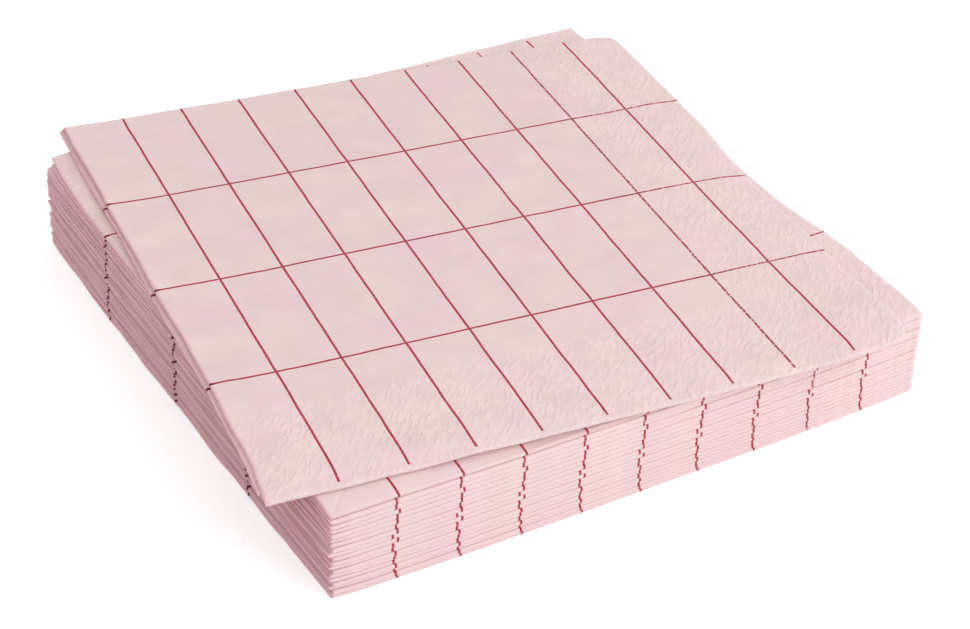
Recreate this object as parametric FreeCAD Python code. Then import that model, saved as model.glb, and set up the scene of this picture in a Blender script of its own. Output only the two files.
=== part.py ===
import FreeCAD, Part
import math
import os

# A stack of paper napkins: nineteen lie squarely on one another and a twentieth lies on top,
# turned over and set askew. Each is one square sheet folded in quarters, so it is four layers
# thick. Millimetres, +Z up, origin at the centre of the stack's footprint on the table.
# -X is the side with the double folds and -Y the front with the single nested fold. The cut
# edges are at +X and +Y. The napkin on top has its nested fold at the back.

# The napkins
side = 200.0
napkins_in_stack = 19

# The sheet is pressed thinner at the bottom of the stack than at the top
sheet_lowest = 0.295
sheet_highest = 0.36
slit = 0.05

# The thin folds on the left are pressed almost sharp: their bevel as a share of the sheet
fold_bevel = 0.6

# The air between two napkins, which the folds on the left open into a thin wedge
air = 0.04
fold_spring = 0.18

# How far the marks on the front of each napkin are off to the right, from the bottom up.
# The napkin itself has slid by a share of it, the rest is in the print. The smaller slips to
# the front or back are used in turn
slide_x = (0.3, -0.5, -0.4, -0.5, -0.8, -0.4, -0.6, -0.9, -1.2, 0.4,
           -1.0, 0.0, 0.0, 0.3, 0.1, 1.2, -0.3, 0.0, 1.0)
slide_y = (0.0, 0.4, -0.2, 0.3, -0.4, 0.1, 0.5)
slid = 0.3

# The napkin on top
askew = -6.71
askew_x = -0.9
askew_y = 1.0

# The second fold is off the middle of the sheet: two layers of the napkin on top reach past
# the other two at the front, and two layers of the one below it at the back
uneven_on_top = 4.3
uneven_below_it = -2.0

half = side / 2
wedge = math.degrees(math.atan(fold_spring / side))


def sheet_of(number):
    """Thickness of the sheet of one napkin, counted from the bottom."""
    share = min((number - 1) / max(napkins_in_stack - 1, 1), 1.0)
    return sheet_lowest + (sheet_highest - sheet_lowest) * share


def bundle_of(number):
    """Thickness of one folded napkin: four layers and the three slits between them."""
    return 4 * sheet_of(number) + 3 * slit


def folded_once(thick, middle_z):
    """Cross-section of the sheet folded once, in the XZ plane: two layers joined by the
    fold on the left, with the slit between them. The fold is pressed almost sharp."""
    outer = thick + slit / 2
    inner = slit / 2
    bevel = fold_bevel * thick
    outline = [(half, outer), (-half + bevel, outer), (-half, outer - bevel),
               (-half, -outer + bevel), (-half + bevel, -outer), (half, -outer),
               (half, -inner), (-half + thick, -inner), (-half + thick, inner),
               (half, inner), (half, outer)]
    points = [FreeCAD.Vector(x, 0, middle_z + z) for x, z in outline]
    return Part.Face(Part.makePolygon(points))


def folded_napkin(thick, uneven=0.0):
    """The sheet folded in quarters, lying on the XY plane with its nested fold at -Y. The two
    lower layers are longer by uneven and the two upper ones shorter by it."""
    pair = 2 * thick + slit
    bundle = 2 * pair + slit
    fold_y = -half + bundle / 2
    upper_leg = FreeCAD.Vector(0, half - fold_y - uneven, 0)
    lower_leg = FreeCAD.Vector(0, half - fold_y + uneven, 0)
    upper = folded_once(thick, bundle - pair / 2)
    upper.translate(FreeCAD.Vector(0, fold_y, 0))
    lower = folded_once(thick, pair / 2)
    lower.translate(FreeCAD.Vector(0, fold_y, 0))
    axis = FreeCAD.Vector(0, fold_y, bundle / 2)
    bend = upper.revolve(axis, FreeCAD.Vector(1, 0, 0), 180)
    return bend.fuse([upper.extrude(upper_leg), lower.extrude(lower_leg)]).removeSplitter()


def resting_height(number):
    """Height of the underside of one napkin at the stack's right edge."""
    return sum(bundle_of(below) + air for below in range(1, number))


def laid(napkin, number):
    """A napkin laid into the stack, tilted as the ones below it are."""
    hinge = FreeCAD.Vector(half, 0, 0)
    napkin.rotate(hinge, FreeCAD.Vector(0, 1, 0), (number - 1) * wedge)
    napkin.translate(FreeCAD.Vector(0, 0, resting_height(number)))
    return napkin


def build():
    os.makedirs("parts", exist_ok=True)
    for number in range(1, napkins_in_stack + 1):
        uneven = uneven_below_it if number == napkins_in_stack else 0.0
        napkin = folded_napkin(sheet_of(number), uneven)
        slip = FreeCAD.Vector(slide_x[(number - 1) % len(slide_x)],
                              slide_y[number % len(slide_y)], 0)
        napkin.translate(slip * slid)
        laid(napkin, number).exportStep("parts/napkin_%02d.step" % number)
    number = napkins_in_stack + 1
    napkin = folded_napkin(sheet_of(number), uneven_on_top)
    middle = FreeCAD.Vector(0, 0, bundle_of(number) / 2)
    napkin.rotate(middle, FreeCAD.Vector(1, 0, 0), 180)
    napkin.rotate(middle, FreeCAD.Vector(0, 0, 1), askew)
    napkin.translate(FreeCAD.Vector(askew_x, askew_y, 0))
    laid(napkin, number).exportStep("parts/napkin_%02d.step" % number)


build()
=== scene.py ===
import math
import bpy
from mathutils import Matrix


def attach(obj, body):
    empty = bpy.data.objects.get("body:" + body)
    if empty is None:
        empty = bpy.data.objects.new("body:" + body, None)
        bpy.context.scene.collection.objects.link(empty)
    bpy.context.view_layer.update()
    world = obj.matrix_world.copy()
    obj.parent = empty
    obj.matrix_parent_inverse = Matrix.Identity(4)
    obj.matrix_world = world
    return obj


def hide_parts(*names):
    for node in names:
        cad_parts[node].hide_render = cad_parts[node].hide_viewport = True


bl_info = {
    "name": "Stack of Paper Napkins",
    "version": (1, 0, 0),
    "blender": (4, 5, 0),
    "location": "3D View > Sidebar > Napkins",
    "description": "Twenty paper napkins folded in quarters, with a fine printed grid",
    "category": "Add Mesh",
}

import bpy
import numpy as np
from bpy.props import FloatProperty, FloatVectorProperty, PointerProperty
from mathutils import Matrix, Vector

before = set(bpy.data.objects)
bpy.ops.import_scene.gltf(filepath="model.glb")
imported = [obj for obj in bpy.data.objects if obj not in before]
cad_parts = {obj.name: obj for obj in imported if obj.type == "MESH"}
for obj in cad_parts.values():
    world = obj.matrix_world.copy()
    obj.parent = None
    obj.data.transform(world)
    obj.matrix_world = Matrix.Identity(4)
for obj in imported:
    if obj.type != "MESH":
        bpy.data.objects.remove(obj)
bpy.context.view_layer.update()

# Distances are in metres. -X is the side with the double folds and -Y the front.
MM = 0.001
NAPKINS = sorted(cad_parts)
IN_STACK = len(NAPKINS) - 1


class NapkinSizes(bpy.types.PropertyGroup):
    side: FloatProperty(
        name="Folded side", description="Side of a napkin folded in quarters",
        default=0.2, unit="LENGTH")
    sheet: FloatProperty(
        name="Tissue", description="Thickness of the three-ply tissue in a loose napkin",
        default=0.34 * MM, unit="LENGTH", precision=5)
    slit: FloatProperty(
        name="Slit", description="Air between two layers of one napkin",
        default=0.08 * MM, unit="LENGTH", precision=5)
    air: FloatProperty(
        name="Air", description="Air between two napkins",
        default=0.05 * MM, unit="LENGTH", precision=5)
    front_left: FloatProperty(
        name="Front left", description="Height of the stack at the closed corner",
        default=31.4 * MM, unit="LENGTH", precision=4)
    front_right: FloatProperty(
        name="Front right", description="Height of the stack at the front right corner",
        default=30.2 * MM, unit="LENGTH", precision=4)
    back_left: FloatProperty(
        name="Back left", description="Height of the stack at the back left corner",
        default=32.2 * MM, unit="LENGTH", precision=4)
    back_right: FloatProperty(
        name="Back right", description="Height of the stack at the corner of cut edges",
        default=27.8 * MM, unit="LENGTH", precision=4)
    sag: FloatVectorProperty(
        name="Corner sag", description="How far the top of the stack sinks at its corners: "
        "front left, front right, back left and back right",
        default=(1.4 * MM, 0.3 * MM, 0.3 * MM, 0.5 * MM), size=4, unit="LENGTH", precision=4)
    askew: FloatProperty(
        name="Askew", description="Turn of the napkin on top",
        default=math.radians(-6.71), subtype="ANGLE")
    askew_by: FloatVectorProperty(
        name="Shift", description="Shift of the napkin on top to the right and back",
        default=(-0.9 * MM, 1.0 * MM), size=2, subtype="XYZ", unit="LENGTH")
    uneven: FloatProperty(
        name="Uneven", description="How far the second fold of the napkin on top is off the "
        "middle of the sheet", default=4.3 * MM, unit="LENGTH", precision=4)
    lies: FloatProperty(
        name="Lies up to", description="The front edge of the napkin on top lies down on the "
        "stack up to here, and hovers from there to the right", default=-50 * MM, unit="LENGTH")
    lifted: FloatProperty(
        name="Lifted corner", description="How far the front right corner of the napkin on top "
        "stands up", default=3.0 * MM, unit="LENGTH", precision=4)
    curled: FloatProperty(
        name="Curled corner", description="How far the tip of that corner curls down",
        default=1.8 * MM, unit="LENGTH", precision=4)
    bulge: FloatVectorProperty(
        name="Bulge", description="How far the stack stands proud at the middle of its front "
        "and left faces", default=(1.5 * MM, 1.1 * MM), size=2, unit="LENGTH", precision=4)


class NapkinPrint(bpy.types.PropertyGroup):
    paper: FloatVectorProperty(
        name="Paper", description="Colour of the dyed tissue",
        default=(0.85, 0.652, 0.64), size=3, subtype="COLOR", min=0, max=1)
    ink: FloatVectorProperty(
        name="Ink", description="Colour of the printed lines",
        default=(0.43, 0.037, 0.068), size=3, subtype="COLOR", min=0, max=1)
    cell: FloatVectorProperty(
        name="Cell", description="Width and length of one cell of the grid",
        default=(0.02, 0.05), size=2, subtype="XYZ", unit="LENGTH")
    line: FloatProperty(
        name="Line", description="Width of a printed line",
        default=0.76 * MM, unit="LENGTH", precision=5)
    margin: FloatProperty(
        name="Margin", description="Bare strip at the end of the lengthwise lines",
        default=2.2 * MM, unit="LENGTH", precision=4)
    border: FloatProperty(
        name="Embossed border", description="Width of the embossed border of the sheet",
        default=0.041, unit="LENGTH")


class NapkinStudio(bpy.types.PropertyGroup):
    azimuth: FloatProperty(
        name="Azimuth", description="Camera's turn round the stack",
        default=math.radians(-31.1), subtype="ANGLE")
    elevation: FloatProperty(
        name="Elevation", description="Camera's height angle over the table",
        default=math.radians(35.35), subtype="ANGLE")
    roll: FloatProperty(
        name="Roll", description="Camera's lean",
        default=math.radians(1.62), subtype="ANGLE")
    distance: FloatProperty(
        name="Distance", description="Camera's distance from the point it looks at",
        default=0.78036, unit="LENGTH")
    target: FloatVectorProperty(
        name="Target", description="The point the camera looks at",
        default=(-9.63 * MM, -27.09 * MM, 20 * MM), size=3, subtype="XYZ", unit="LENGTH")
    lens: FloatProperty(
        name="Lens", description="Focal length on a sensor 36 mm wide", default=95.12)
    sky: FloatProperty(
        name="Sky", description="Strength of the even light all round", default=0.765)
    key: FloatProperty(
        name="Key", description="Strength of the large lamp at the front right", default=9.7)
    size: FloatProperty(
        name="Lamp size", description="Side of the large lamp", default=0.9, unit="LENGTH")


class Field:
    """A number in a node tree, so that a rule reads as plain arithmetic."""

    def __init__(self, tree, socket):
        self.tree = tree
        self.socket = socket

    @classmethod
    def of(cls, tree, number):
        node = tree.nodes.new("ShaderNodeValue")
        node.outputs[0].default_value = number
        return cls(tree, node.outputs[0])

    def apply(self, operation, *others):
        node = self.tree.nodes.new("ShaderNodeMath")
        node.operation = operation
        for place, value in zip(node.inputs, (self,) + others):
            if isinstance(value, Field):
                self.tree.links.new(value.socket, place)
            else:
                place.default_value = value
        return Field(self.tree, node.outputs[0])

    def __add__(self, other):
        return self.apply("ADD", other)

    def __radd__(self, other):
        return self.apply("ADD", other)

    def __sub__(self, other):
        return self.apply("SUBTRACT", other)

    def __rsub__(self, other):
        return self.apply("MULTIPLY_ADD", -1.0, other)

    def __mul__(self, other):
        return self.apply("MULTIPLY", other)

    def __rmul__(self, other):
        return self.apply("MULTIPLY", other)

    def __truediv__(self, other):
        return self.apply("DIVIDE", other)

    def __rtruediv__(self, other):
        return self.apply("POWER", -1.0) * other

    def __abs__(self):
        return self.apply("ABSOLUTE")

    def at_least(self, other):
        return self.apply("MAXIMUM", other)

    def at_most(self, other):
        return self.apply("MINIMUM", other)

    def sin(self):
        return self.apply("SINE")

    def cos(self):
        return self.apply("COSINE")

    def fade(self, reach):
        """One at zero, and falling softly to nothing at a few times reach."""
        return (self / reach * -1.0).apply("EXPONENT")

    def ramp(self, start, end, low=0.0, high=1.0):
        """A smooth step from low at start to high at end."""
        node = self.tree.nodes.new("ShaderNodeMapRange")
        node.interpolation_type = "SMOOTHSTEP"
        for name, value in (("From Min", start), ("From Max", end),
                            ("To Min", low), ("To Max", high)):
            if isinstance(value, Field):
                self.tree.links.new(value.socket, node.inputs[name])
            else:
                node.inputs[name].default_value = value
        self.tree.links.new(self.socket, node.inputs["Value"])
        return Field(self.tree, node.outputs["Result"])


def vector(tree, x, y, z):
    """Three numbers of a node tree as one vector socket."""
    node = tree.nodes.new("ShaderNodeCombineXYZ")
    for place, value in zip(node.inputs, (x, y, z)):
        if isinstance(value, Field):
            tree.links.new(value.socket, place)
        else:
            place.default_value = value
    return node.outputs[0]


def noise(tree, where, detail=2.0, roughness=0.5):
    """Soft noise from minus a half to a half."""
    node = tree.nodes.new("ShaderNodeTexNoise")
    node.inputs["Scale"].default_value = 1.0
    node.inputs["Detail"].default_value = detail
    node.inputs["Roughness"].default_value = roughness
    tree.links.new(where, node.inputs["Vector"])
    return Field(tree, node.outputs[0]) - 0.5


# The named inputs of the folding rule, with their defaults
FOLD_INPUTS = (
    ("Side", 0.2), ("Tissue", 0.34 * MM), ("Slit", 0.08 * MM), ("Air", 0.05 * MM),
    ("Lowest", 0.0), ("Highest", 0.05),
    ("Front left", 0.03), ("Front right", 0.03), ("Back left", 0.03), ("Back right", 0.03),
    ("Slide X", 0.0), ("Slide Y", 0.0), ("Turn", 0.0), ("Way up", 1.0),
    ("Uneven", 0.0), ("Thin edge", 1.0), ("Lies up to", 1.0), ("Skew", 0.6),
    ("Lifted corner", 0.0), ("Curled corner", 0.0), ("Curled edge", 0.0), ("Open left", 0.0),
    ("Step out", 0.0), ("Soft corners", 1.0 * MM), ("Pulled in", 0.0),
    ("Bulge front", 0.0), ("Bulge left", 0.0), ("Dip right", 0.0), ("Flare", 0.0),
    ("Blunt", 3.0), ("Pinch", 0.4), ("Squeeze", 0.3),
    ("Wavy folds", 0.5 * MM), ("Wavy faces", 0.005), ("Loose", 1.0 * MM), ("Brow", 1.0 * MM),
    ("Sag front left", 1.0 * MM), ("Sag front right", 1.0 * MM),
    ("Sag back left", 1.0 * MM), ("Sag back right", 1.0 * MM),
    ("Droop left", 8.0), ("Droop right", 20.0), ("Droop front", 1.5), ("Seed", 0.0),
)


# How far in from a fold, an edge or a corner the small forms of a napkin fade out
REACH_PINCH = 4 * MM
REACH_SQUEEZE = 5 * MM
REACH_SKEW = 18 * MM
REACH_SOFT_CORNER = 4 * MM
REACH_CURL = 5 * MM
REACH_EDGE = 9 * MM
REACH_FLARE = 14 * MM
REACH_BULGE = 30 * MM
REACH_SAG = 8 * MM
REACH_PULL = 14 * MM
REACH_BROW = 4.5 * MM
REACH_SWAY = 6 * MM

# How blunt the thin folds and the closed corner are: less than 2 is sharper than round, and
# more is squarer
THIN_BLUNT = 1.7
CORNER_BLUNT = 1.6

# How unevenly the thin folds spring open, as a share of the stack's height
FOLD_SPRING = 0.03

# The dip in the right edge: its middle and half its length
DIP_MIDDLE = -18 * MM
DIP_REACH = 42 * MM


def folding_rule():
    """A node tree that folds a flat sheet in quarters and lays it between two levels of the
    stack. The levels never cross, so no napkin cuts into the next."""
    tree = bpy.data.node_groups.new("Fold in quarters", "GeometryNodeTree")
    tree.interface.new_socket("Sheet", in_out="INPUT", socket_type="NodeSocketGeometry")
    for name, default in FOLD_INPUTS:
        socket = tree.interface.new_socket(name, in_out="INPUT", socket_type="NodeSocketFloat")
        socket.default_value = default
    tree.interface.new_socket("Finish", in_out="INPUT", socket_type="NodeSocketMaterial")
    tree.interface.new_socket("Napkin", in_out="OUTPUT", socket_type="NodeSocketGeometry")
    given = tree.nodes.new("NodeGroupInput")
    size = {name: Field(tree, given.outputs[name]) for name, _ in FOLD_INPUTS}
    flat = tree.nodes.new("ShaderNodeSeparateXYZ")
    tree.links.new(tree.nodes.new("GeometryNodeInputPosition").outputs[0], flat.inputs[0])
    across, along, out = (Field(tree, socket) for socket in flat.outputs)

    half = size["Side"] * 0.5
    sheet, slit = size["Tissue"], size["Slit"]
    bundle = sheet * 4.0 + slit * 3.0

    # The first fold, on the left: x runs along the layers and n across them
    bend = (sheet + slit) * 0.5
    angle = (across / bend).at_most(math.pi / 2).at_least(-math.pi / 2)
    leg = (abs(across) - bend * (math.pi / 2)).at_least(0.0)
    nose = (1.0 - abs(angle.sin()).at_most(1.0).apply("POWER", THIN_BLUNT)).at_least(0.0)
    x = leg + sheet + slit * 0.5 - half - (bend + out) * nose.apply("POWER", 1 / THIN_BLUNT)
    n = (bend + out) * angle.sin()
    # Two layers together are pinched thinner at their fold
    n = n * (1.0 - size["Pinch"] * (x + half).fade(REACH_PINCH))

    # The second fold, at the front, round which both layers go. It isn't quite in the middle
    # of the sheet, and it is pressed to a blunt nose except near the closed corner
    along = along - size["Uneven"]
    bend = sheet + slit
    angle = (along / bend).at_most(math.pi / 2).at_least(-math.pi / 2)
    leg = (abs(along) - bend * (math.pi / 2)).at_least(0.0)
    blunt = (x + half).ramp(1 * MM, 8 * MM, CORNER_BLUNT, size["Blunt"])
    # It is blunter in some places than in others
    sway = noise(tree, vector(tree, x / (40 * MM), size["Seed"], 2.2), 1.0)
    blunt = blunt * (1.0 + sway * 1.3)
    nose = (1.0 - abs(angle.sin()).at_most(1.0).apply("POWER", blunt)).at_least(0.0)
    nose = nose.apply("POWER", 1.0 / blunt)
    y = leg + bundle * 0.5 - half - (bend + n) * nose
    share = (bend + n) * angle.sin() / (bundle + size["Air"])
    share = share * size["Way up"] + 0.5
    # The thin folds of one napkin are pressed together
    squeeze = size["Squeeze"] * (y + half).ramp(0.0, 14 * MM, 0.4, 1.0)
    share = (share - 0.5) * (1.0 - squeeze * (x + half).fade(REACH_SQUEEZE)) + 0.5

    # Two layers reach past the other two, less so at the fold on the left, and may sink
    upper = along.ramp(-0.5 * MM, 0.5 * MM)
    over = (y - half + size["Uneven"]).ramp(0.0, 8 * MM)
    lies = x.ramp(size["Lies up to"] - 8 * MM, size["Lies up to"] + 8 * MM, 1.0, 0.0)
    share = share - over * lies * 0.3
    skew = size["Uneven"] * (upper * 2.0 - 1.0) * y.ramp(half - 30 * MM, half)
    y = y + skew * (x + half).fade(REACH_SKEW) * size["Skew"]
    # The cut edges of a loose napkin are thinner than its middle
    thin = ((half - x).ramp(0.0, REACH_EDGE, size["Thin edge"], 1.0)
            * (half + size["Uneven"] - y).ramp(0.0, 7 * MM, size["Thin edge"], 1.0))
    level = size["Lowest"] + (size["Highest"] - size["Lowest"]) * share * thin

    # The cut corners are soft, and one corner and the edge on top may curl down
    at_fold = ((half - x) + (half + y)).at_least(0.0).fade(REACH_SOFT_CORNER)
    at_cut = ((half - x) + abs(half + size["Uneven"] - y)).at_least(0.0).fade(REACH_CURL)
    at_edge = (half - x).at_least(0.0).fade(REACH_EDGE) * size["Curled edge"]
    curl = at_cut * size["Curled corner"]
    down = curl + at_edge * share * 0.8
    y = y + at_fold * size["Soft corners"] - at_cut * size["Soft corners"] - curl * 0.9
    x = x - (at_fold + at_cut) * size["Soft corners"] - curl * 0.7 - at_edge
    # The two pairs of layers part at the fold on the left
    near_fold = (x + half).fade(REACH_EDGE)
    up = share * size["Open left"] * near_fold * y.ramp(half - 45 * MM, half, 1.0, 0.0)
    x = x - size["Step out"] * upper * near_fold + squeeze * near_fold * 1.2 * MM
    # The free corner there flares out
    flare = ((x + half) + abs(half + size["Uneven"] - y)).fade(REACH_FLARE) * size["Flare"]
    x = x - flare
    down = down + flare * 0.4

    # The faces of the stack bulge a little between the corners
    along_x, along_y = x / half, y / half
    bulge_y = (1.0 - along_x.apply("POWER", 4.0)) * (y + half).fade(REACH_BULGE)
    bulge_x = (1.0 - along_y.apply("POWER", 4.0)) * (x + half).fade(REACH_BULGE)
    y = y - bulge_y * size["Bulge front"]
    x = x - bulge_x * size["Bulge left"]

    # No fold is quite straight
    from_left = (x + half) / REACH_SWAY
    from_front = (y + half) / REACH_SWAY
    sway = noise(tree, vector(tree, y / (30 * MM), size["Seed"] + upper * 0.9, 3.7), 2.0)
    x = x + sway * size["Wavy folds"] * from_left.fade(1.0)
    sway = noise(tree, vector(tree, x / (28 * MM), size["Seed"], 9.1), 2.0)
    y = y + sway * size["Wavy folds"] * 0.2 * from_front.fade(1.0)

    # The napkin is turned over, set askew and slid into its place
    turned = y * size["Way up"]
    turn_cos, turn_sin = size["Turn"].cos(), size["Turn"].sin()
    place_x = x * turn_cos - turned * turn_sin + size["Slide X"]
    place_y = x * turn_sin + turned * turn_cos + size["Slide Y"]

    # The stack's height at this place is set by its four corners
    u = (place_x / size["Side"] + 0.5).at_least(0.0).at_most(1.0)
    v = (place_y / size["Side"] + 0.5).at_least(0.0).at_most(1.0)
    front = size["Front left"] + (size["Front right"] - size["Front left"]) * u
    back = size["Back left"] + (size["Back right"] - size["Back left"]) * u
    height = front + (back - front) * v
    # The layers are a little wavy
    where = vector(tree, place_x / (45 * MM), place_y / (45 * MM), level * 8.0)
    swell = noise(tree, where, 1.0) * size["Wavy faces"] * (level * 8.0).at_most(1.0)
    # The thin folds on the left spring open by different amounts
    where = vector(tree, place_y / (60 * MM), level * 16.0, 5.3)
    swell = swell + noise(tree, where, 1.0) * from_left.fade(1.6) * FOLD_SPRING
    place_z = (level + swell) * height + up - down

    # The right edge sinks and draws in a little near its middle
    dip = (1.0 - ((place_y - DIP_MIDDLE) / DIP_REACH).apply("POWER", 2.0)).at_least(0.0)
    dip = dip * dip * (half - place_x).at_least(0.0).fade(10 * MM) * level.apply("POWER", 4.0)
    place_z = place_z - dip * size["Dip right"]
    place_x = place_x - dip * size["Dip right"] * 0.8

    # The top of the stack is loose, its corners sag, and what hangs over droops
    near_top = level.ramp(0.7, 1.0)
    ripple = noise(tree, vector(tree, place_x / (24 * MM), place_y / (24 * MM), 6.0), 2.0)
    inside = (half - abs(place_x).at_least(abs(place_y))).at_least(0.0)
    place_z = place_z + ripple * size["Loose"] * (inside.fade(15 * MM) + 0.35) * near_top
    brow = (place_y + half).at_least(0.0).fade(REACH_BROW) * level.ramp(0.93, 1.0)
    place_z = place_z - brow * size["Brow"] * lies
    lift = ((x - 0.4 * half) / (0.6 * half)).at_least(0.0)
    place_z = place_z + lift * lift * y.ramp(half * 0.5, half) * size["Lifted corner"]
    for name, side_x, side_y in (("front left", -1, -1), ("front right", 1, -1),
                                 ("back left", -1, 1), ("back right", 1, 1)):
        gap_x, gap_y = place_x - half * side_x, place_y - half * side_y
        gap = (gap_x * gap_x + gap_y * gap_y).apply("SQRT")
        place_z = place_z - gap.fade(REACH_SAG) * size["Sag " + name] * level * level
    # The folds near the top draw back at the back left corner
    gap_x, gap_y = place_x + half, place_y - half
    gap = (gap_x * gap_x + gap_y * gap_y).apply("SQRT")
    place_x = place_x + gap.fade(REACH_PULL) * size["Pulled in"] * level.ramp(0.82, 1.0)
    for name, past in (("left", -1.0 * half - place_x), ("right", place_x - half),
                       ("front", -1.0 * half - place_y)):
        past = past.at_least(0.0)
        place_z = place_z - past * past * size["Droop " + name]

    fold = tree.nodes.new("GeometryNodeSetPosition")
    tree.links.new(given.outputs["Sheet"], fold.inputs["Geometry"])
    tree.links.new(vector(tree, place_x, place_y, place_z), fold.inputs["Position"])
    finish = tree.nodes.new("GeometryNodeSetMaterial")
    tree.links.new(fold.outputs[0], finish.inputs["Geometry"])
    tree.links.new(given.outputs["Finish"], finish.inputs["Material"])
    result = tree.nodes.new("NodeGroupOutput")
    tree.links.new(finish.outputs[0], result.inputs["Napkin"])
    return tree


# Rows of points in half a fold, and the first gap beside it
ROWS_IN_FOLD = 7
FIRST_GAP = 0.25 * MM


def rows_of(length, bend, step):
    """Rows of one half of the sheet: close together in the fold and at the cut edge."""
    rows = [bend * i / ROWS_IN_FOLD for i in range(ROWS_IN_FOLD + 1)]
    gap = FIRST_GAP
    while rows[-1] + gap < length - 1.5 * MM:
        rows.append(rows[-1] + gap)
        gap = min(gap * 1.5, step)
    return rows + [length - 1.2 * MM, length - 0.35 * MM, length]


def flat_sheet(sizes, fine, coarse, over=False, uneven=0.0, slip=0.0):
    """The sheet as it is cut, printed side up: a closed mesh with a row of points where
    each fold will be. fine is the step in the quarter that ends up outside, which is another
    one when the napkin is turned over. uneven is how far the second fold is off the middle,
    and slip how far the print is off to the right."""
    first, second = (sizes.sheet + sizes.slit) / 2, sizes.sheet + sizes.slit
    bundle = 4 * sizes.sheet + 3 * sizes.slit
    reach = sizes.side - sizes.sheet - sizes.slit / 2 + first * math.pi / 2
    across = [-r for r in reversed(rows_of(reach, first * math.pi / 2, coarse)[1:])]
    across += rows_of(reach, first * math.pi / 2, fine)
    reach = sizes.side - bundle / 2 + second * math.pi / 2
    steps = (fine, coarse) if over else (coarse, fine)
    along = [-r for r in reversed(rows_of(reach + uneven, second * math.pi / 2, steps[0])[1:])]
    along += rows_of(reach - uneven, second * math.pi / 2, steps[1])
    grid_x, grid_y = np.meshgrid(across, np.array(along) + uneven)
    count = grid_x.size
    flat = np.stack([grid_x.ravel(), grid_y.ravel(), np.full(count, sizes.sheet / 2)], 1)
    points = np.concatenate([flat, flat * (1, 1, -1)])

    index = np.arange(count).reshape(grid_x.shape)
    a, b = index[:-1, :-1].ravel(), index[:-1, 1:].ravel()
    c, d = index[1:, 1:].ravel(), index[1:, :-1].ravel()
    upper = np.stack([a, b, c, d], 1)
    lower = np.stack([d, c, b, a], 1) + count
    border = np.concatenate([index[0, :-1], index[:-1, -1], index[-1, :0:-1], index[:0:-1, 0]])
    following = np.roll(border, -1)
    rim = np.stack([border + count, following + count, following, border], 1)
    faces = np.concatenate([upper, lower, rim])

    mesh = bpy.data.meshes.new("sheet")
    mesh.from_pydata(points.tolist(), [], faces.tolist())
    corners = points[faces.ravel(), :2]
    for layer, shift in (("Sheet", (0, 0)), ("Print", (slip, uneven))):
        place = (corners - shift) / (2 * sizes.side) + 0.5
        mesh.uv_layers.new(name=layer).data.foreach_set("uv", place.astype(np.float32).ravel())
    printed = mesh.attributes.new("printed", "FLOAT", "POINT")
    printed.data.foreach_set("value", (points[:, 2] > 0).astype(np.float32))
    mesh.polygons.foreach_set("use_smooth", np.ones(len(faces), bool))
    return bpy.data.objects.new("sheet", mesh)


def folded(sheet, name, settings, finish):
    """The sheet folded and laid by the rule, as a plain mesh."""
    bpy.context.scene.collection.objects.link(sheet)
    tree = bpy.data.node_groups.get("Fold in quarters") or folding_rule()
    modifier = sheet.modifiers.new("Fold in quarters", "NODES")
    modifier.node_group = tree
    sockets = {item.name: item.identifier for item in tree.interface.items_tree
               if item.in_out == "INPUT"}
    for key, value in settings.items():
        modifier[sockets[key]] = float(value)
    modifier[sockets["Finish"]] = finish
    bpy.context.view_layer.update()
    seen = sheet.evaluated_get(bpy.context.evaluated_depsgraph_get())
    mesh = bpy.data.meshes.new_from_object(seen)
    mesh.name = name
    sheet.modifiers.remove(modifier)
    bpy.data.objects.remove(sheet)
    napkin = bpy.data.objects.new(name, mesh)
    bpy.context.scene.collection.objects.link(napkin)
    return napkin


def declare(napkin, node):
    """Ties a finished napkin to its place in the frame."""
    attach(napkin, "root")
    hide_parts(node)


def line_mask(across, spacing, width, last):
    """One on the lines of a ruling, and zero between them, on the fold and past the last."""
    index = (across / spacing).apply("ROUND")
    off = abs(across - index * spacing)
    line = (off - width * 0.5).ramp(-0.06 * MM, 0.06 * MM, 1.0, 0.0)
    away = across.ramp(spacing * 0.5 - 0.1 * MM, spacing * 0.5 + 0.1 * MM)
    return line * away * across.ramp(last - 0.1 * MM, last + 0.1 * MM, 1.0, 0.0)


def sheet_place(tree, layer, cut):
    """Metres from the middle of the sheet, or from the middle of its print."""
    coordinates = tree.nodes.new("ShaderNodeUVMap")
    coordinates.uv_map = layer
    parts = tree.nodes.new("ShaderNodeSeparateXYZ")
    tree.links.new(coordinates.outputs[0], parts.inputs[0])
    return [(Field(tree, parts.outputs[i]) - 0.5) * cut for i in range(2)]


# The embossing: the slant of its strokes, the size of one, and its depth
SLANT = (0.62, 0.78)
STROKE = (4.2 * MM, 1.5 * MM)
EMBOSSED = 0.27 * MM

# How deep the creping, the soft swells and the crease at the closed corner are
CREPED = 0.04 * MM
SWOLLEN = 0.08 * MM
CREASED = 0.35 * MM

# How far the printed lines waver, and the lengthwise line that is printed too dry
WAVER = 0.6 * MM
DRY_LINE = 8


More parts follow.
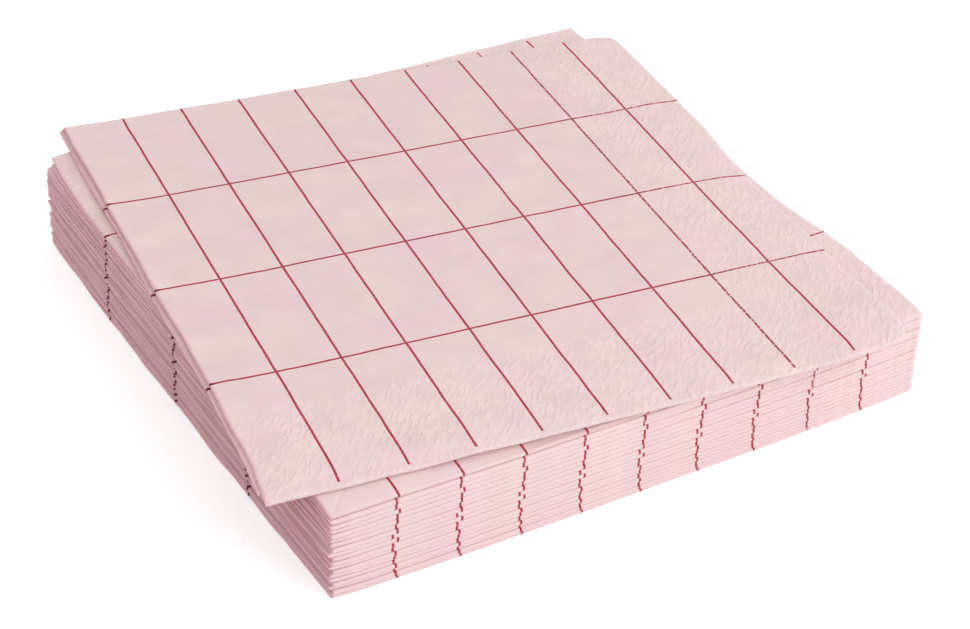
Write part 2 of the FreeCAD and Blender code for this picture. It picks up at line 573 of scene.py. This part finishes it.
def tissue():
    """Soft dyed tissue with the printed grid on its outer side and an embossed border."""
    look = bpy.context.scene.napkin_print
    cut = 2 * bpy.context.scene.napkin_sizes.side
    material = bpy.data.materials.new("Printed tissue")
    material.use_nodes = True
    tree = material.node_tree
    shader = tree.nodes["Principled BSDF"]
    u, v = sheet_place(tree, "Sheet", cut)
    print_u, print_v = sheet_place(tree, "Print", cut)
    waver = noise(tree, vector(tree, u / (14 * MM), v / (14 * MM), 5.0), 2.0) * WAVER
    print_u, print_v = abs(print_u + waver), abs(print_v + waver)
    printed = tree.nodes.new("ShaderNodeAttribute")
    printed.attribute_name = "printed"
    outside = Field(tree, printed.outputs["Fac"]).ramp(0.4, 0.6)

    # How far a point is inside the sheet's embossed border
    edge = abs(u).at_least(abs(v))
    border = edge.ramp(cut / 2 - look.border - 0.006, cut / 2 - look.border + 0.012)
    # Slanting strokes, broken and wavy
    lean = u * SLANT[0] + v * SLANT[1]
    cross = v * SLANT[0] - u * SLANT[1]
    wander = noise(tree, vector(tree, lean / (6 * MM), cross / (4 * MM), 0.0), 2.0)
    strokes = noise(tree, vector(tree, lean / STROKE[0] + wander * 0.6,
                                 cross / STROKE[1] + wander * 2.6, 1.0), 1.5, 0.5)
    patches = noise(tree, vector(tree, u / (11 * MM), v / (11 * MM), 8.0), 2.0)
    relief = strokes.ramp(-0.12, 0.14) * patches.ramp(-0.2, 0.15, 0.35, 1.0)
    crepe = noise(tree, vector(tree, u / (1.1 * MM), v / (0.6 * MM), 2.0), 3.0, 0.6)
    soft = noise(tree, vector(tree, u / (12 * MM), v / (12 * MM), 4.0), 3.0, 0.55)
    broad = noise(tree, vector(tree, u / (24 * MM), v / (24 * MM), 7.0), 2.0, 0.5)

    lengthwise = line_mask(print_u, look.cell[0], look.line, cut / 2 - look.cell[0] / 2)
    bare = cut / 2 - look.margin
    lengthwise = lengthwise * abs(v).ramp(bare, bare + 0.2 * MM, 1.0, 0.0)
    # A line is broader where it runs over a thin fold, and darker there with painted shade
    on_fold = abs(u).ramp(0.8 * MM, 2.2 * MM, 1.0, 0.0)
    crosswise = line_mask(print_v, look.cell[1], (on_fold * 0.4 + 1.0) * look.line,
                          cut / 2 - look.cell[1] / 2)
    # One lengthwise line and the ends of the crosswise lines beyond it have gaps
    print_u = print_u / look.cell[0]
    gaps = noise(tree, vector(tree, u / (0.9 * MM), v / (0.9 * MM), 3.0), 2.0).ramp(0.0, 0.12)
    dry_length = (print_u.ramp(DRY_LINE - 0.4, DRY_LINE - 0.3)
                  * print_u.ramp(DRY_LINE + 0.3, DRY_LINE + 0.4, 1.0, 0.0))
    dry_cross = print_u.ramp(DRY_LINE - 0.3, DRY_LINE + 0.4)
    lengthwise = lengthwise * (1.0 - gaps * dry_length * 0.6)
    crosswise = crosswise * (1.0 - gaps * dry_cross * 0.6)
    speckle = crepe.ramp(-0.26, -0.05, 0.6, 1.0)
    ink = lengthwise.at_least(crosswise) * outside * speckle

    # Painted shade: along the thin folds the tissue is darker and pinker, standing in for the
    # shade and the pink light bounced between the layers there. Painted highlight: the cut
    # edges are a little paler.
    painted_fold_shade = abs(u).ramp(0.45 * MM, 0.9 * MM, 1.0, 0.0)
    paper = [Field.of(tree, c) for c in look.paper]
    # Painted highlight along the last millimetre of a cut edge
    pale = edge.ramp(cut / 2 - 1.6 * MM, cut / 2 - 0.6 * MM) * 0.035
    # Painted highlight: the raised embossed strokes are lighter, besides their bump; the soft
    # mottles are the tissue's own tone
    shade = pale + 1.0 - (soft + 0.15).at_least(0.0) * 0.18 + border * relief * 0.06
    warm = broad * 0.14
    paper = [c * shade for c in paper]
    paper[1] = paper[1] * (1.0 + warm) * (1.0 - painted_fold_shade * 0.18) * (pale + 1.0)
    paper[2] = paper[2] * (1.0 - warm * 0.5) * (1.0 - painted_fold_shade * 0.09) * (pale + 1.0)
    colour = tree.nodes.new("ShaderNodeMix")
    colour.data_type = "RGBA"
    tree.links.new(vector(tree, *paper), colour.inputs["A"])
    # Painted shade darkens the ink on the thin folds, and the dry line is printed a little
    # darker
    ink_painted_shade_and_dry_print = 1.0 - on_fold.at_least(dry_length * 0.35) * 0.5
    tree.links.new(vector(tree, *(ink_painted_shade_and_dry_print * c for c in look.ink)), colour.inputs["B"])
    tree.links.new(ink.socket, colour.inputs["Factor"])
    tree.links.new(colour.outputs["Result"], shader.inputs["Base Color"])

    shader.inputs["Roughness"].default_value = 0.95
    shader.inputs["Specular IOR Level"].default_value = 0.15
    shader.inputs["Sheen Weight"].default_value = 0.08
    shader.inputs["Sheen Roughness"].default_value = 0.6

    # A short crease runs in from the closed corner
    crease = (abs(u) - print_v) / (0.9 * MM)
    crease = (crease * crease).fade(1.0) * abs(u).fade(7 * MM) * abs(u).ramp(1 * MM, 3 * MM)
    height = (relief * border * EMBOSSED + crepe * CREPED + soft * SWOLLEN
              - crease * CREASED)
    bump = tree.nodes.new("ShaderNodeBump")
    bump.inputs["Strength"].default_value = 0.6
    bump.inputs["Distance"].default_value = 1.0
    tree.links.new(height.socket, bump.inputs["Height"])
    tree.links.new(bump.outputs[0], shader.inputs["Normal"])
    return material


def finish_of():
    """The napkins' one material, made when it is first asked for."""
    return bpy.data.materials.get("Printed tissue") or tissue()


# How much thinner the lowest napkin is than the middle one, and how thick the last one is
PRESSED = 0.15
LAST_THICK = 1.8


def shares():
    """The levels between the napkins as shares of the height: the lowest are pressed flatter
    and the last one is loose."""
    middle = (IN_STACK - 1) / 2
    thick = [1 + PRESSED * (k - middle) / middle for k in range(IN_STACK)]
    thick[-1] = LAST_THICK
    return [sum(thick[:k]) / sum(thick) for k in range(IN_STACK + 1)]


def base_settings(sizes):
    """What the folding rule is given for every napkin, before its own settings."""
    return {
        "Side": sizes.side, "Tissue": sizes.sheet, "Slit": sizes.slit, "Air": sizes.air,
        "Front left": sizes.front_left, "Front right": sizes.front_right,
        "Back left": sizes.back_left, "Back right": sizes.back_right,
        "Sag front left": sizes.sag[0], "Sag front right": sizes.sag[1],
        "Sag back left": sizes.sag[2], "Sag back right": sizes.sag[3],
        "Blunt": 4.6, "Pinch": 0.5, "Wavy folds": 2.4 * MM, "Wavy faces": 0.006,
        "Loose": 0.9 * MM, "Brow": 1.3 * MM, "Way up": 1.0, "Turn": 0.0, "Uneven": 0.0,
        "Thin edge": 1.0, "Lies up to": 1.0, "Skew": 0.6, "Lifted corner": 0.0,
        "Curled corner": 0.0, "Curled edge": 0.0, "Open left": 0.0, "Step out": 0.0,
        "Soft corners": 0.0, "Pulled in": 2.4 * MM, "Squeeze": 0.3,
        "Dip right": 1.3 * MM, "Flare": 0.0,
        "Bulge front": sizes.bulge[0], "Bulge left": sizes.bulge[1],
        "Droop left": 3.0, "Droop right": 20.0, "Droop front": 1.0, "Seed": 0.0,
    }


# How far each napkin's marks on the front are off to the right, from the bottom up, in mm.
# The napkin itself has slid by a part of it, and the print lies askew on the sheet by the rest
SLIDE_X = (0.3, -0.5, -0.4, -0.5, -0.8, -0.4, -0.6, -0.9, -1.2, 0.4,
           -1.0, 0.0, 0.0, 0.3, 0.1, 1.2, -0.3, 0.0, 1.0)
SLIDE_Y = (0.0, 0.4, -0.2, 0.3, -0.4, 0.1, 0.5)
SLID = 0.3

# How far all the marks are off to the left, in mm
PRINT_OFF = 0.4

# How far the second fold of each napkin is off the middle, used in turn, and of the last one
UNEVEN = (0.0, 0.7, -0.5, 0.35, -0.8)
UNEVEN_LAST = -2.0 * MM

# The most that a napkin is turned in the stack, in degrees
SMALL_TURN = 0.12

# The steps between points on the sheets: hidden, on the stack's top and on the napkin on top
STEP_HIDDEN = 5 * MM
STEP_LAST = 2.0 * MM
STEP_TOP = 1.3 * MM


class NAPKINS_OT_stack(bpy.types.Operator):
    """Folds nineteen napkins and lays them on one another"""
    bl_idname = "napkins.stack"
    bl_label = "Lay the stack"

    def execute(self, context):
        sizes = context.scene.napkin_sizes
        level = shares()
        for k in range(IN_STACK):
            top = k == IN_STACK - 1
            slid = SLIDE_X[k] * MM * SLID
            uneven = UNEVEN_LAST if top else UNEVEN[k % len(UNEVEN)] * MM
            sheet = flat_sheet(sizes, STEP_LAST if top else STEP_HIDDEN, STEP_HIDDEN,
                               uneven=uneven, slip=(SLIDE_X[k] - PRINT_OFF) * MM - slid)
            settings = base_settings(sizes)
            # The folds are pinched and squeezed by amounts that the golden ratio spreads
            settings.update({
                "Lowest": level[k], "Highest": level[k + 1], "Seed": 2.37 * k,
                "Uneven": uneven, "Pinch": 0.12 + 0.3 * (0.382 * k % 1),
                "Squeeze": 0.05 + 0.85 * (0.618 * k % 1) ** 3,
                "Slide X": slid, "Slide Y": SLIDE_Y[(k + 1) % len(SLIDE_Y)] * MM * SLID,
                "Turn": math.radians(SMALL_TURN * math.sin(2.4 * k)),
            })
            if top:
                settings.update({"Blunt": 1.8, "Wavy folds": 0.6 * MM})
            name = "folded_" + NAPKINS[k]
            napkin = folded(sheet, name, settings, finish_of())
            declare(napkin, NAPKINS[k])
        return {"FINISHED"}


class NAPKINS_OT_top(bpy.types.Operator):
    """Folds the last napkin, turns it over and lays it askew on the stack"""
    bl_idname = "napkins.top"
    bl_label = "Lay the napkin on top"

    def execute(self, context):
        sizes = context.scene.napkin_sizes
        sheet = flat_sheet(sizes, STEP_TOP, STEP_HIDDEN, over=True, uneven=sizes.uneven)
        settings = base_settings(sizes)
        settings.update({
            "Lowest": 1.0, "Highest": 1.06, "Way up": -1.0, "Turn": sizes.askew,
            "Slide X": sizes.askew_by[0], "Slide Y": sizes.askew_by[1],
            "Uneven": sizes.uneven, "Thin edge": 0.85, "Seed": 50.0,
            "Lies up to": sizes.lies, "Skew": 0.45, "Lifted corner": sizes.lifted,
            "Curled corner": sizes.curled, "Curled edge": 0.3 * MM, "Open left": 1.1 * MM,
            "Step out": 1.3 * MM, "Soft corners": 0.9 * MM, "Pulled in": 0.0, "Brow": 0.3 * MM,
            "Flare": 1.8 * MM, "Pinch": 0.2, "Squeeze": 0.0,
            "Bulge front": 0.0, "Bulge left": 0.0, "Droop front": 0.0, "Droop right": 12.0,
        })
        name = "folded_" + NAPKINS[-1]
        napkin = folded(sheet, name, settings, finish_of())
        declare(napkin, NAPKINS[-1])
        return {"FINISHED"}


FLOOR_REACH = 4.0
FLOOR_LOW = -0.05 * MM
FLOOR_GLOW = 0.48
LAMP_DIRECTION = (0.44, -0.76, 0.56)
LAMP_DISTANCE = 1.5
LAMP_COLOUR = (1.0, 0.985, 1.06)


def white_for_the_camera(tree, light, strength):
    """Joins an even light to white as the camera, gloss and clear things see it."""
    path = tree.nodes.new("ShaderNodeLightPath")
    seen = Field(tree, path.outputs["Is Camera Ray"])
    for name in ("Is Glossy Ray", "Is Transmission Ray"):
        seen = seen.at_least(Field(tree, path.outputs[name]))
    tree.links.new((seen * (1.0 - strength) + strength).socket, light.inputs["Strength"])


class NAPKINS_OT_studio(bpy.types.Operator):
    """Makes the pale floor, the soft light and the camera"""
    bl_idname = "napkins.studio"
    bl_label = "Set up the studio"

    def execute(self, context):
        studio = context.scene.napkin_studio
        scene = context.scene
        world = bpy.data.worlds.new("Studio")
        world.use_nodes = True
        scene.world = world
        sky = world.node_tree.nodes["Background"]
        sky.inputs["Color"].default_value = (1, 1, 1, 1)
        white_for_the_camera(world.node_tree, sky, studio.sky)

        mesh = bpy.data.meshes.new("floor")
        reach, low = FLOOR_REACH, FLOOR_LOW
        mesh.from_pydata([(-reach, -reach, low), (reach, -reach, low),
                          (reach, reach, low), (-reach, reach, low)], [], [(0, 1, 2, 3)])
        floor = bpy.data.objects.new("floor", mesh)
        scene.collection.objects.link(floor)
        material = bpy.data.materials.new("Pale floor")
        material.use_nodes = True
        tree = material.node_tree
        shader = tree.nodes["Principled BSDF"]
        shader.inputs["Base Color"].default_value = (0.85, 0.85, 0.85, 1)
        shader.inputs["Roughness"].default_value = 1.0
        shader.inputs["Specular IOR Level"].default_value = 0.0
        shader.inputs["Emission Color"].default_value = (1, 1, 1, 1)
        path = tree.nodes.new("ShaderNodeLightPath")
        tree.links.new((Field(tree, path.outputs["Is Camera Ray"]) * FLOOR_GLOW).socket,
                       shader.inputs["Emission Strength"])
        mesh.materials.append(material)

        lamp = bpy.data.lights.new("key", "AREA")
        lamp.shape = "SQUARE"
        lamp.size = studio.size
        lamp.energy = studio.key
        lamp.color = LAMP_COLOUR
        key = bpy.data.objects.new("key", lamp)
        direction = Vector(LAMP_DIRECTION).normalized()
        place = Vector(studio.target) + direction * LAMP_DISTANCE
        facing = direction.to_track_quat("Z", "Y").to_matrix().to_4x4()
        key.matrix_world = Matrix.Translation(place) @ facing
        scene.collection.objects.link(key)

        az, el = studio.azimuth, studio.elevation
        back = Vector((math.sin(az) * math.cos(el), -math.cos(az) * math.cos(el), math.sin(el)))
        right = Vector((0, 0, 1)).cross(back).normalized()
        up = back.cross(right)
        lean = Matrix.Rotation(studio.roll, 3, back)
        turn = Matrix((lean @ right, lean @ up, back)).transposed()
        data = bpy.data.cameras.new("camera")
        data.lens = studio.lens
        data.sensor_width = 36.0
        camera = bpy.data.objects.new("camera", data)
        place = Vector(studio.target) + back * studio.distance
        camera.matrix_world = Matrix.Translation(place) @ turn.to_4x4()
        scene.collection.objects.link(camera)
        scene.camera = camera
        scene.view_settings.view_transform = "Standard"
        return {"FINISHED"}


class NAPKINS_PT_panel(bpy.types.Panel):
    """Lists the steps and sizes of the stack of napkins"""
    bl_idname = "NAPKINS_PT_panel"
    bl_label = "Paper napkins"
    bl_space_type = "VIEW_3D"
    bl_region_type = "UI"
    bl_category = "Napkins"

    def draw(self, context):
        for group in ("napkin_sizes", "napkin_print", "napkin_studio"):
            box = self.layout.box()
            settings = getattr(context.scene, group)
            for name in settings.__annotations__:
                box.prop(settings, name)
        for step in STEPS:
            self.layout.operator(step.bl_idname)


GROUPS = (NapkinSizes, NapkinPrint, NapkinStudio)
STEPS = (NAPKINS_OT_stack, NAPKINS_OT_top, NAPKINS_OT_studio)
CLASSES = GROUPS + STEPS + (NAPKINS_PT_panel,)


def register():
    for each in CLASSES:
        bpy.utils.register_class(each)
    bpy.types.Scene.napkin_sizes = PointerProperty(type=NapkinSizes)
    bpy.types.Scene.napkin_print = PointerProperty(type=NapkinPrint)
    bpy.types.Scene.napkin_studio = PointerProperty(type=NapkinStudio)


def unregister():
    del bpy.types.Scene.napkin_studio
    del bpy.types.Scene.napkin_print
    del bpy.types.Scene.napkin_sizes
    for each in reversed(CLASSES):
        bpy.utils.unregister_class(each)


def main():
    register()
    bpy.ops.napkins.stack()
    bpy.ops.napkins.top()
    bpy.ops.napkins.studio()


if __name__ == "__main__":
    main()
